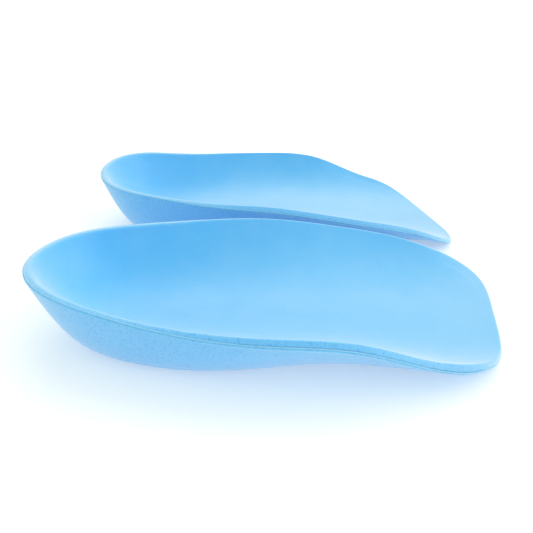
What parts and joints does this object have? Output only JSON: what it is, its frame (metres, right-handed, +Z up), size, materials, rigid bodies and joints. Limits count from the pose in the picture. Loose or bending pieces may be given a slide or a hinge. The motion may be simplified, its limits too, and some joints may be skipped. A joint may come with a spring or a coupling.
{
  "type": "cushioned insole pair",
  "caption": "Three-quarter-length foam insoles, left and right, each with a deep heel cup, a raised arch wall and a thin front edge, to cushion and support the feet inside shoes.",
  "frame": {"origin": "under the middle of the pair's bounding box, on the floor", "axes": "+X from the heels to the front edges, +Y from the right insole to the left insole, +Z up"},
  "size_m": [0.1704, 0.1744, 0.0292],
  "materials": {
    "shell_foam": "matte closed-cell foam, fine open grain where ground",
    "cover_foam": "soft matte closed-cell foam, smooth skin on the foot side",
    "glue": "thin dried contact adhesive"
  },
  "bodies": {
    "right_insole": {"right_base_shell": "shell_foam", "right_glue_film": "glue", "right_top_cover": "cover_foam"},
    "left_insole": {"left_base_shell": "shell_foam", "left_glue_film": "glue", "left_top_cover": "cover_foam"}
  },
  "joints": [
    {"name": "left_lift", "type": "slide", "parent": "right_insole", "child": "left_insole", "axis": [0, 0, 1], "range_m": [0, 0.08]}
  ]
}
